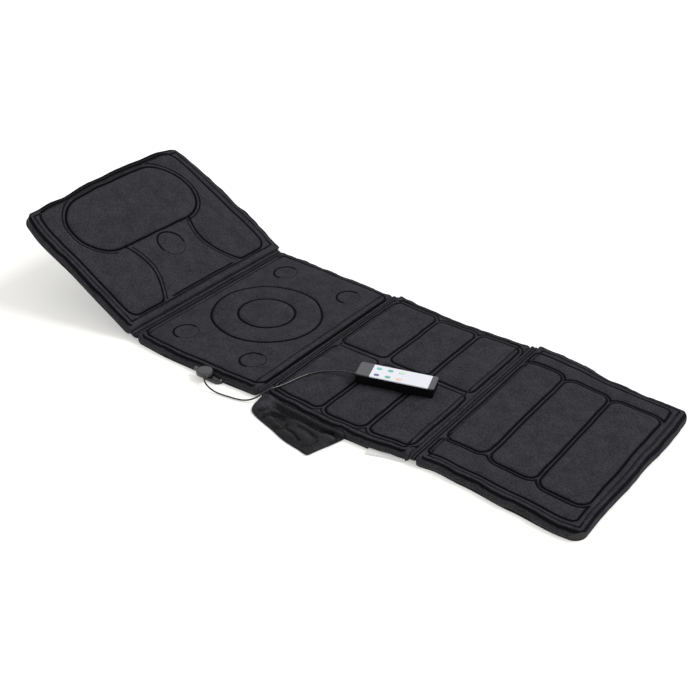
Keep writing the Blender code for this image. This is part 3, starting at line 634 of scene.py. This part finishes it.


# ======== fabric hinges ===============================================================
# The covers run together between two panels as an unpadded web with two sewn pleats, so
# the mat folds there. Each web is built bent to its fold's angle at rest.
def hinge_web(name, fold_x, fold_n, bend, seed, ends):
    """One web from edge to edge: a cross-section in mm swept along the fold."""
    cross = [(-9.6, 17.0), (-8.6, 17.6), (-7.2, 20.0), (-5.0, 21.0), (-2.8, 20.2), (-1.2, 17.8),
             (0.0, 16.6), (1.2, 17.8), (2.8, 20.4), (5.0, 21.3), (7.2, 20.2), (8.6, 17.6),
             (9.6, 17.0), (9.6, 12.0), (5.0, 10.6), (0.0, 9.6), (-5.0, 10.6), (-9.6, 12.0)]
    near_end, far_end = ends
    stations = np.linspace(near_end, far_end, 272)
    points, faces, k = [], [], len(cross)
    for y in stations:
        wave = slow_wave(y, 0.1, seed, 34)
        sway = slow_wave(y, 0.5, seed + 2, 70)
        end = min(max((min(y - near_end, far_end - y) + 0.0022) / 0.011, 0.0), 1.0)
        end = math.sqrt(1 - (1 - end) ** 2)
        for x_mm, n_mm in cross:
            x = x_mm * 0.001 + 0.0009 * sway * (1 - abs(x_mm) / 9.6)
            n = n_mm * 0.001
            if n_mm > 12.5:
                n += 0.0010 * wave * (1 - abs(x_mm) / 12)
                n = 0.0120 + (n - 0.0120) * end
            t = (HINGE_HALF - x) / (2 * HINGE_HALF)
            a, z = bend * min(max(t, 0), 1), n - fold_n
            points.append((fold_x + x * math.cos(a) + z * math.sin(a), y,
                           fold_n - x * math.sin(a) + z * math.cos(a)))
    for i in range(len(stations) - 1):
        for j in range(k):
            m = (j + 1) % k
            faces.append((i * k + j, i * k + m, (i + 1) * k + m, (i + 1) * k + j))
    faces.append(tuple(range(k)))
    faces.append(tuple(range((len(stations) - 1) * k, len(stations) * k)))
    web = mesh_piece(name, points, faces, [knit])
    # Distances in mm from which the knit paints shade in the web's middle valley and along its
    # pleat seams.
    values = [abs(x) + 1.8 if n > 12.5 else 40.0 for x, n in cross]
    store(web, "crease_mm", np.tile(values, len(stations)))
    values = [abs(abs(x) - 8.6) if n > 12.5 else 40.0 for x, n in cross]
    store(web, "seam_mm", np.tile(values, len(stations)))
    sub = web.modifiers.new("round", "SUBSURF")
    sub.levels = sub.render_levels = 1
    return web


for name, fold, fold_n, bend, a, b, seed, ends in (
        ("head", FOLD["back"], THICK, RAISE, "back_panel", "head_panel", 5, (-0.2865, 0.3070)),
        ("hip", FOLD["seat"], 0.0, 0.0, "back_panel", "seat_panel", 6, (-0.2855, 0.2990)),
        ("leg", FOLD["leg"], THICK, 0.0, "seat_panel", "leg_panel", 7, (-0.2800, 0.3050))):
    web = hinge_web(f"{name}_hinge_web", fold, fold_n, bend, seed, ends)
    apply_modifiers(web)
    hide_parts(f"{name}_hinge_strip")
    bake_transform(web)


# ======== undersides ==================================================================
# Plain woven polyester closes each panel below, sewn to the cover all round.
lining, tree, bsdf = new_material("woven_polyester_lining", "17171A", Roughness=0.8)
warp, weft = (texture(tree, "Wave", {"Scale": 1000 / 1.4 / 6.28, "Distortion": 0.4},
                      bands_direction=way) for way in "XY")
weave = add_node(tree, "ShaderNodeMath", {0: warp.outputs["Fac"], 1: weft.outputs["Fac"]},
                 operation="MULTIPLY")
yarn = add_node(tree, "ShaderNodeMix", {"Factor": weave.outputs[0]}, data_type="RGBA")
yarn.inputs[6].default_value = hex_colour("0C0C0E")
yarn.inputs[7].default_value = hex_colour("1D1D20")
tree.links.new(yarn.outputs[2], bsdf.inputs["Base Color"])
relief(tree, bsdf, weave.outputs[0], 0.6, 0.0004)
LINING_INSET, LINING_STEP = 0.0015, 0.006


def underside(panel, length, free_start, free_end, seed):
    """A panel's closing cloth, a little smaller than its cover."""
    u0 = LINING_INSET if free_start else HINGE_HALF + LINING_INSET
    u1 = length - (LINING_INSET if free_end else HINGE_HALF + LINING_INSET)
    hu, hv = (u1 - u0) / 2, WIDTH / 2 - LINING_INSET
    nu, nv = int(2 * hu / LINING_STEP), int(2 * hv / LINING_STEP)
    a, b = np.meshgrid(np.linspace(-hu, hu, nu + 1), np.linspace(-hv, hv, nv + 1), indexing="ij")
    rs, re = (0.029 if free_start else 0.011), (0.029 if free_end else 0.011)
    a, b = to_outline(a, b, hu, hv, [(-1, -1, rs), (-1, 1, rs), (1, -1, re), (1, 1, re)])
    u = a + (u0 + u1) / 2
    rim = np.minimum(hu - np.abs(a), hv - np.abs(b))
    low = 0.0004 + 0.0006 * np.exp(-((rim - 0.012) / 0.003) ** 2) + 0.0006 * np.exp(-rim / 0.002)
    low = low + 0.00025 * (1 + slow_wave(u, b, seed, 80)) * np.clip(rim / 0.02, 0, 1)
    high = np.full(u.shape, 0.0024)
    m = u.size
    u, b = hand_cut(panel, length, u, b)
    pts = np.concatenate([place(panel, u, b, low).reshape(-1, 3),
                          place(panel, u, b, high).reshape(-1, 3)])
    idx = np.arange(m).reshape(u.shape)
    faces = []
    for i in range(nu):
        for j in range(nv):
            q = (idx[i, j], idx[i, j + 1], idx[i + 1, j + 1], idx[i + 1, j])
            faces += [q, tuple(k + m for k in q[::-1])]
    loop = border(idx)
    for i in range(len(loop)):
        p, q = loop[i - 1], loop[i]
        faces.append((p, q, q + m, p + m))
    return mesh_piece(f"{panel}_underside_cloth", pts, faces, [lining], angle=60)


for panel, length, first, last, seed in (("head", HEAD_LEN, True, False, 21),
                                         ("back", BACK_LEN, False, False, 22),
                                         ("seat", SEAT_LEN, False, False, 23),
                                         ("leg", LEG_LEN, False, True, 24)):
    cloth = underside(panel, length, first, last, seed)
    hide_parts(f"{panel}_back_cover")
    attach(cloth, f"{panel}_panel")


# ======== foam cores ==================================================================
# Each panel is one slab of open-cell foam, cut round its motors, with its edge trimmed
# to the sewn cover's rim.
foam, tree, bsdf = new_material("open_cell_foam", "55565A", Roughness=0.9)
cells = texture(tree, "Voronoi", {"Scale": 1000 / 1.1})
# Painted shade: the middle of each cell, where the pore is hollow, is coloured darker than its rim.
pore_shade = add_node(tree, "ShaderNodeMapRange", {"Value": cells.outputs["Distance"], "From Max": 0.5,
                                             "To Min": 0.55, "To Max": 0.0})
cell_tone = add_node(tree, "ShaderNodeMix", {"Factor": pore_shade.outputs["Result"]}, data_type="RGBA")
cell_tone.inputs[6].default_value = hex_colour("606166")
cell_tone.inputs[7].default_value = hex_colour("2E2F32")
tree.links.new(cell_tone.outputs[2], bsdf.inputs["Base Color"])
relief(tree, bsdf, cells.outputs["Distance"], 0.5, 0.0004)
FAR_TRIM, RIM_TRIM = 0.016, 0.0046

for panel, length, first, last in (("head", HEAD_LEN, True, False),
                                   ("back", BACK_LEN, False, False),
                                   ("seat", SEAT_LEN, False, False),
                                   ("leg", LEG_LEN, False, True)):
    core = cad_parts[f"{panel}_foam_core"].data.copy()
    bm = bmesh.new()
    bm.from_mesh(core)
    bmesh.ops.remove_doubles(bm, verts=bm.verts, dist=0.00002)
    bm.to_mesh(core)
    bm.free()
    spots = np.array([v.co[:] for v in core.vertices])
    if panel == "head":
        x, z = spots[:, 0] - FOLD["head"], spots[:, 2] - THICK
        u = x * math.cos(RAISE) - z * math.sin(RAISE) + HEAD_LEN
        n = x * math.sin(RAISE) + z * math.cos(RAISE) + THICK
    else:
        u, n = spots[:, 0] - FOLD[panel], spots[:, 2].copy()
    v = spots[:, 1] - FAR_TRIM * np.clip((spots[:, 1] - 0.236) / 0.030, 0, 1)
    u0, u1 = 0.0 if first else HINGE_HALF, length - (0.0 if last else HINGE_HALF)
    gaps = [u - u0, u1 - u, v + WIDTH / 2, WIDTH / 2 - v]
    n = np.where((np.minimum.reduce(gaps) < 0.0085) & (n > 0.015), 0.0138, n)
    move = [RIM_TRIM * np.clip((0.034 - g) / 0.022, 0, 1) for g in gaps]
    u, v = hand_cut(panel, length, u + move[0] - move[1], v + move[2] - move[3])
    core.vertices.foreach_set("co", place(panel, u, v, n).astype(np.float32).ravel())
    core.materials.clear()
    core.materials.append(foam)
    slab = bpy.data.objects.new(f"{panel}_foam_slab", core)
    scene.collection.objects.link(slab)
    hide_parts(f"{panel}_foam_core")
    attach(slab, f"{panel}_panel")


# ======== side pocket =================================================================
# A limp pouch of thin coated nylon, caught in the seat panel's edge seam. The cloth hangs
# from the seam and has slumped on the floor in folds, with a rolled hem at its free end.
nylon, tree, bsdf = new_material("coated_nylon_taffeta", "0E0E11", Roughness=0.44,
                                 Specular_IOR_Level=0.16)
rumple = texture(tree, "Noise", {"Scale": 62.0, "Detail": 5.0, "Roughness": 0.62,
                                 "Distortion": 1.6})
yarns = texture(tree, "Noise", {"Scale": 1200.0, "Detail": 1.0})
fine_bump = add_node(tree, "ShaderNodeBump", {"Height": yarns.outputs["Fac"],
                                              "Strength": 0.3, "Distance": 0.0003})
# Painted highlight and shade: crests are painted a little paler, and the bottoms of the folds and
# the groove along the mat's edge are painted almost black as shade.
crest_light_attr = add_node(tree, "ShaderNodeAttribute", attribute_name="painted_crest_light")
fold_shade_attr = add_node(tree, "ShaderNodeAttribute", attribute_name="fold")
crest_highlight = add_node(tree, "ShaderNodeMath", {0: crest_light_attr.outputs["Fac"], 1: rumple.outputs["Fac"]},
               operation="MULTIPLY")
cloth_tone_lit = add_node(tree, "ShaderNodeMix", {"Factor": crest_highlight.outputs[0]}, data_type="RGBA")
cloth_tone_lit.inputs[6].default_value = hex_colour("131316")
cloth_tone_lit.inputs[7].default_value = hex_colour("3C3C42")
fold_shaded = add_node(tree, "ShaderNodeMix", {"Factor": fold_shade_attr.outputs["Fac"],
                                          6: cloth_tone_lit.outputs[2]}, data_type="RGBA")
fold_shaded.inputs[7].default_value = hex_colour("020203")
tree.links.new(fold_shaded.outputs[2], bsdf.inputs["Base Color"])
bump = add_node(tree, "ShaderNodeBump", {"Height": rumple.outputs["Fac"], "Strength": 0.8,
                                         "Distance": 0.0032,
                                         "Normal": fine_bump.outputs["Normal"]})
tree.links.new(bump.outputs["Normal"], bsdf.inputs["Normal"])

ACROSS, DOWN = 190, 64
# The free edge, in plan: round the left lump, along the slack bottom to the corner, and up.
POCKET_RIM = [(0.2060, -0.2925), (0.2046, -0.3020), (0.2050, -0.3140), (0.2095, -0.3300),
              (0.2190, -0.3430), (0.2370, -0.3525), (0.2560, -0.3590), (0.2800, -0.3660),
              (0.3020, -0.3725), (0.3235, -0.3805), (0.3435, -0.3865), (0.3660, -0.3905),
              (0.3892, -0.3935), (0.4080, -0.3972), (0.4150, -0.3966), (0.4180, -0.3880),
              (0.4255, -0.3620), (0.4350, -0.3330), (0.4420, -0.3080), (0.4460, -0.2960)]


def line_gap(x, y, line):
    """Distance of every point to a polyline."""
    best = np.full(x.shape, 9.0)
    for (ax, ay), (bx, by) in zip(line, line[1:]):
        dx, dy = bx - ax, by - ay
        k = np.clip(((x - ax) * dx + (y - ay) * dy) / (dx * dx + dy * dy), 0, 1)
        best = np.minimum(best, np.hypot(x - ax - k * dx, y - ay - k * dy))
    return best


def seat_edge(x):
    """The seat panel's near edge at x."""
    return -WIDTH / 2 - long_edge("seat", (x - FOLD["seat"]) / SEAT_LEN, False)


rim_run, _ = smooth_run([(x, y, 0) for x, y in POCKET_RIM], ACROSS)
s = np.linspace(0, 1, ACROSS)[:, None] + np.zeros((1, DOWN))
t = np.linspace(0, 1, DOWN)[None, :] ** 0.9 + np.zeros((ACROSS, 1))
top_x = 0.2075 + 0.2375 * s
top_y = seat_edge(top_x) + 0.0045
x = top_x * (1 - t) + rim_run[:, :1] * t
y = top_y * (1 - t) + rim_run[:, 1:2] * t
rim_gap = line_gap(x, y, rim_run[::3, :2])


def swell(cx, cy, rx, ry, turn=0.0):
    """A rounded lift of the cloth, 1 at its middle; turn in degrees."""
    a, b = x - cx, y - cy
    c, d = math.cos(math.radians(turn)), math.sin(math.radians(turn))
    return np.exp(-((a * c + b * d) / rx) ** 2 - ((b * c - a * d) / ry) ** 2)


away = seat_edge(x) - y
loose = eased(x, (0.238, 0.0), (0.265, 1.0))
high = 0.0050 + 0.0125 * np.exp(-(away / (0.0150 - 0.0085 * loose)) ** 2)
high = high + 0.0062 * loose * np.exp(-((away - 0.025) / 0.0095) ** 2)
high = high + 0.0125 * swell(0.2310, -0.3180, 0.0230, 0.0225)
high = high + 0.0062 * swell(0.2760, -0.3430, 0.0210, 0.0095, -22)
high = high + 0.0072 * swell(0.3700, -0.3480, 0.0400, 0.0190, -18)
high = high + 0.0050 * swell(0.3330, -0.3640, 0.0260, 0.0085, -16)
high = high + 0.0040 * swell(0.4180, -0.3300, 0.0120, 0.0240, -12)
high = high + 0.0013 * slow_wave(x * 0.7 + y * 0.8, y - x * 0.5, 31, 42)
high = high + 0.0006 * slow_wave(x + y * 0.5, y - x * 0.3, 37, 15)
# folds gathers where shade is painted into the bottoms of the folds, for the nylon's colour.
folds = np.zeros(x.shape)
for deep, wide, fold in (
        (0.0050, 0.0042, [(0.2530, -0.3480), (0.2650, -0.3310), (0.2810, -0.3220),
                          (0.2970, -0.3270)]),
        (0.0042, 0.0036, [(0.2810, -0.3220), (0.3040, -0.3165), (0.3290, -0.3140),
                          (0.3600, -0.3110)]),
        (0.0055, 0.0040, [(0.2980, -0.3660), (0.3100, -0.3590), (0.3170, -0.3470),
                          (0.3150, -0.3400)]),
        (0.0030, 0.0030, [(0.3250, -0.3530), (0.3480, -0.3560), (0.3720, -0.3680)]),
        (0.0026, 0.0026, [(0.2330, -0.3400), (0.2420, -0.3330), (0.2480, -0.3230)]),
        (0.0024, 0.0026, [(0.3420, -0.3300), (0.3700, -0.3310), (0.4000, -0.3400)]),
        (0.0026, 0.0030, [(0.3880, -0.3830), (0.4010, -0.3650), (0.4060, -0.3480)]),
        (0.0040, 0.0034, [(0.3880, -0.3130), (0.4030, -0.3080), (0.4200, -0.3060)])):
    valley = np.exp(-(line_gap(x, y, fold) / wide) ** 2)
    high = high - 1.5 * deep * valley
    folds = np.maximum(folds, valley ** 0.45 * min(1.0, deep / 0.0042))
# Painted shade in the groove along the mat's edge, where the pouch tucks under it.
tuck_shade = 0.97 * loose * np.exp(-((away - 0.0110) / 0.0075) ** 4)
turn_down = np.sqrt(1 - (1 - np.clip(rim_gap / 0.0068, 0, 1)) ** 2)
high = 0.0016 + (np.maximum(high, 0.0034) - 0.0016) * turn_down
low = 0.0009 + 0.0007 * t ** 8
points = np.concatenate([np.stack([x, y, high], -1).reshape(-1, 3),
                         np.stack([x, y, low], -1).reshape(-1, 3)])
grid = np.arange(s.size).reshape(s.shape)
lower = grid + s.size
lower[:, -1], lower[0, 1:], lower[-1, 1:] = grid[:, -1], grid[0, 1:], grid[-1, 1:]
faces = []
for i in range(ACROSS - 1):
    for j in range(DOWN - 1):
        faces.append((grid[i, j], grid[i, j + 1], grid[i + 1, j + 1], grid[i + 1, j]))
        if 0 < i < ACROSS - 2 and j < DOWN - 2:
            faces.append((lower[i, j], lower[i + 1, j], lower[i + 1, j + 1], lower[i, j + 1]))
        else:
            quad = (lower[i, j], lower[i + 1, j], lower[i + 1, j + 1], lower[i, j + 1])
            if len(set(quad) & {*grid[i:i + 2, j:j + 2].ravel()}) < 4:
                faces.append(quad)
used = sorted({k for f in faces for k in f})
renumber = {k: n for n, k in enumerate(used)}
pouch = mesh_piece("side_pocket_pouch", points[used],
                   [tuple(renumber[k] for k in f) for f in faces], [nylon])
# Painted shade in the folds and the edge groove, and a painted highlight on the crests, stored for
# the nylon.
shade = np.concatenate([np.maximum(folds, tuck_shade).ravel(), np.zeros(s.size)])[used]
painted_crest_light = np.concatenate([np.clip((high - 0.0075) / 0.009, 0, 1).ravel(), np.zeros(s.size)])[used]
for name, values in (("fold", shade), ("painted_crest_light", painted_crest_light)):
    store(pouch, name, values)
wall = pouch.modifiers.new("cloth_thickness", "SOLIDIFY")
wall.thickness, wall.offset = 0.0005, -1.0
apply_modifiers(pouch)
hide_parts("side_pocket")
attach(pouch, "seat_panel")

# The hem is the pouch's own cloth rolled twice and sewn, so it stands up as a welt.
hem_way = [(px, py, 0.0034) for px, py, _ in rim_run[int(0.70 * ACROSS):-3:4]]
welt = tube_mesh("pocket_rolled_hem", smooth_run(hem_way, 80)[0], 0.0021, 12, nylon)
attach(welt, "seat_panel")


# ======== care label ==================================================================
# White satin tape folded double and caught in the edge seam; it carries no print.
satin, tree, bsdf = new_material("woven_satin_tape", "D4D4D2", Roughness=0.55)
ribs = texture(tree, "Wave", {"Scale": 1000 / 0.9 / 6.28}, bands_direction="Y")
relief(tree, bsdf, ribs.outputs["Fac"], 0.2, 0.0002)
LABEL_LONG, LABEL_DOWN = 48, 14
s, t = np.meshgrid(np.linspace(0, 1, LABEL_LONG), np.linspace(0, 1, LABEL_DOWN),
                   indexing="ij")
lab_x = 0.509 + 0.084 * s + 0.003 * t
drop = 0.0190 - 0.0168 * s ** 0.85
lab_y = seat_edge(lab_x) + 0.0015 - (drop + 0.0015) * t
lab_z = 0.0064 - (0.0036 - 0.0012 * s) * t + 0.0009 * np.sin(s * 7 + t * 2) * t
pts = []
for lift in (0.0, -0.0005, -0.0011, -0.0016):
    under = 0.0007 if lift < -0.001 else 0
    pts.append(np.stack([lab_x, lab_y + under, lab_z + lift], -1).reshape(-1, 3))
idx, m, faces = np.arange(s.size).reshape(s.shape), s.size, []
for top, bot in ((0, 1), (2, 3)):
    for i in range(LABEL_LONG - 1):
        for j in range(LABEL_DOWN - 1):
            q = (idx[i, j], idx[i + 1, j], idx[i + 1, j + 1], idx[i, j + 1])
            faces += [tuple(k + top * m for k in q), tuple(k + bot * m for k in q[::-1])]
    loop = border(idx)
    for i in range(len(loop)):
        p, q = loop[i - 1], loop[i]
        faces.append((p + top * m, q + top * m, q + bot * m, p + bot * m))
label = mesh_piece("care_label_tape", np.concatenate(pts), faces, [satin], angle=60)
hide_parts("care_label")
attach(label, "seat_panel")


# ======== lead outlet =================================================================
# A round two-part housing in gloss ABS at the mat's edge, on a soft rubber boot, with the
# power inlet on its side and a strain relief for the control cord.
gloss, tree, bsdf = new_material("gloss_moulded_abs", "3A3A3D", Roughness=0.22)
flow = texture(tree, "Noise", {"Scale": 60.0, "Detail": 2.0})
relief(tree, bsdf, flow.outputs["Fac"], 0.08, 0.0006)
for node in ("outlet_base", "outlet_cap"):
    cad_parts[node].data.materials[0] = gloss
for node in ("outlet_boot", "outlet_strain_relief", "handset_strain_relief"):
    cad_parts[node].data.materials[0] = pvc


# ======== handset =====================================================================
# A slim remote: black ABS shell, satin grey end caps, a printed white polycarbonate face
# and six soft silicone keys.
grey, tree, bsdf = new_material("spark_eroded_abs_grey", "4C4C4F", Roughness=0.42)
spark = texture(tree, "Noise", {"Scale": 1400.0, "Detail": 2.0})
relief(tree, bsdf, spark.outputs["Fac"], 0.5, 0.0002)
for node in ("handset_cap_left", "handset_cap_right", "power_inlet", "thermostat"):
    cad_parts[node].data.materials[0] = grey


def mottled(name, colour, other, grain_mm, depth_mm, **shader):
    """Material of two near tones in a fine grain, with the grain's own relief."""
    mat, tree, bsdf = new_material(name, colour, **shader)
    grain = texture(tree, "Noise", {"Scale": 1000 / grain_mm, "Detail": 3.0})
    blend = add_node(tree, "ShaderNodeMix", {"Factor": grain.outputs["Fac"]}, data_type="RGBA")
    blend.inputs[6].default_value = hex_colour(colour)
    blend.inputs[7].default_value = hex_colour(other)
    tree.links.new(blend.outputs[2], bsdf.inputs["Base Color"])
    relief(tree, bsdf, grain.outputs["Fac"], 0.4, depth_mm / 1000)
    return mat


shell = mottled("moulded_abs_black", "050506", "0A0A0B", 0.8, 0.10, Roughness=0.45,
                Specular_IOR_Level=0.12)
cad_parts["handset_shell"].data.materials[0] = shell
face, tree, bsdf = new_material("printed_polycarbonate", "DADCE2", Roughness=0.28)
coords = add_node(tree, "ShaderNodeTexCoord")
local = add_node(tree, "ShaderNodeMapping", {"Vector": coords.outputs["Object"]},
                 vector_type="TEXTURE")
local.inputs["Location"].default_value = (HAND_AT[0], HAND_AT[1], 0.0)
local.inputs["Rotation"].default_value = (0.0, 0.0, HAND_YAW)
# Screen-printed key captions: plain pale bars, 5 mm by 0.9 mm, in rows on the foot half.
axes = add_node(tree, "ShaderNodeSeparateXYZ", {"Vector": local.outputs["Vector"]})
bars = add_node(tree, "ShaderNodeTexBrick", {"Vector": local.outputs["Vector"], "Scale": 100.0,
                                             "Mortar Size": 0.26, "Mortar Smooth": 0.1,
                                             "Brick Width": 1.05, "Row Height": 0.62},
                offset=0.5)
bars.inputs["Color1"].default_value = hex_colour("A9B7C6")
bars.inputs["Color2"].default_value = hex_colour("C6B9BE")
bars.inputs["Mortar"].default_value = hex_colour("DADCE2")
foot_half = add_node(tree, "ShaderNodeMapRange", {"Value": axes.outputs["X"], "From Min": 0.010,
                                                  "From Max": 0.012})
before_end = add_node(tree, "ShaderNodeMapRange", {"Value": axes.outputs["X"], "From Min": 0.050,
                                                   "From Max": 0.052, "To Min": 1.0, "To Max": 0.0})
printed = add_node(tree, "ShaderNodeMath", {0: foot_half.outputs["Result"],
                                            1: before_end.outputs["Result"]},
                   operation="MULTIPLY")
faint = add_node(tree, "ShaderNodeMath", {0: printed.outputs[0], 1: 0.45}, operation="MULTIPLY")
ink = add_node(tree, "ShaderNodeMix", {"Factor": faint.outputs[0], 7: bars.outputs["Color"]},
               data_type="RGBA")
ink.inputs[6].default_value = hex_colour("DADCE2")
tree.links.new(ink.outputs[2], bsdf.inputs["Base Color"])
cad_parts["handset_face"].data.materials[0] = face
board = mottled("circuit_board_mask", "1E5A37", "174A2C", 2.5, 0.05, Roughness=0.45)
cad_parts["handset_board"].data.materials[0] = board
for k, (tint, other) in enumerate((("7CC0BC", "76BAB6"), ("64B3A8", "5EADA2"),
                                   ("BFE0C6", "B9DAC0"), ("75689B", "6F6295"),
                                   ("6BB39C", "65AD96"), ("F0C7AC", "EAC1A6"))):
    silicone = mottled(f"silicone_key_{k + 1}", tint, other, 0.7, 0.06, Roughness=0.5)
    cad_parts[f"handset_key_{k + 1}"].data.materials[0] = silicone


# ======== inside the panels ===========================================================
# Motors, weights and heating film, closed in by the covers.
motor = mottled("moulded_motor_case", "1C1C1E", "121214", 0.9, 0.12, Roughness=0.5)
steel = mottled("plated_steel_weight", "9A9CA0", "85878C", 1.6, 0.04, Roughness=0.35, Metallic=1.0)
film = mottled("carbon_heating_film", "17171A", "0E0E10", 4.0, 0.10, Roughness=0.6)
for node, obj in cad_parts.items():
    if node.startswith("motor_case"):
        obj.data.materials[0] = motor
    elif node.startswith("motor_rotor"):
        obj.data.materials[0] = steel
    elif node == "heating_pad":
        obj.data.materials[0] = film


# ======== floor and light ==============================================================
# Plain pale floor under a broad soft sky and one large lamp above the far side.
FLOOR_HALF, FLOOR_LEVEL = 60, -0.0004
floor_mat, tree, bsdf = new_material("matt_studio_floor", "DDDCD9", Roughness=0.9,
                                     Emission_Strength=0.34)
bsdf.inputs["Emission Color"].default_value = hex_colour("FFFFFD")
floor = mesh_piece("studio_floor", [(FLOOR_HALF * a, FLOOR_HALF * b, FLOOR_LEVEL)
                                    for a, b in ((-1, -1), (1, -1), (1, 1), (-1, 1))],
                   [(0, 1, 2, 3)], [floor_mat])
world = bpy.data.worlds.new("studio_sky")
scene.world = world
world.use_nodes = True
world.node_tree.nodes["Background"].inputs["Color"].default_value = (1, 1, 1, 1)
world.node_tree.nodes["Background"].inputs["Strength"].default_value = 0.80
lamp = bpy.data.lights.new("soft_key", "SUN")
lamp.energy, lamp.angle = 1.75, math.radians(26)
key = bpy.data.objects.new("soft_key", lamp)
scene.collection.objects.link(key)
key.rotation_euler = Vector((0.62, 0.62, 1.0)).to_track_quat("Z", "Y").to_euler()
scene.view_settings.view_transform = "Standard"
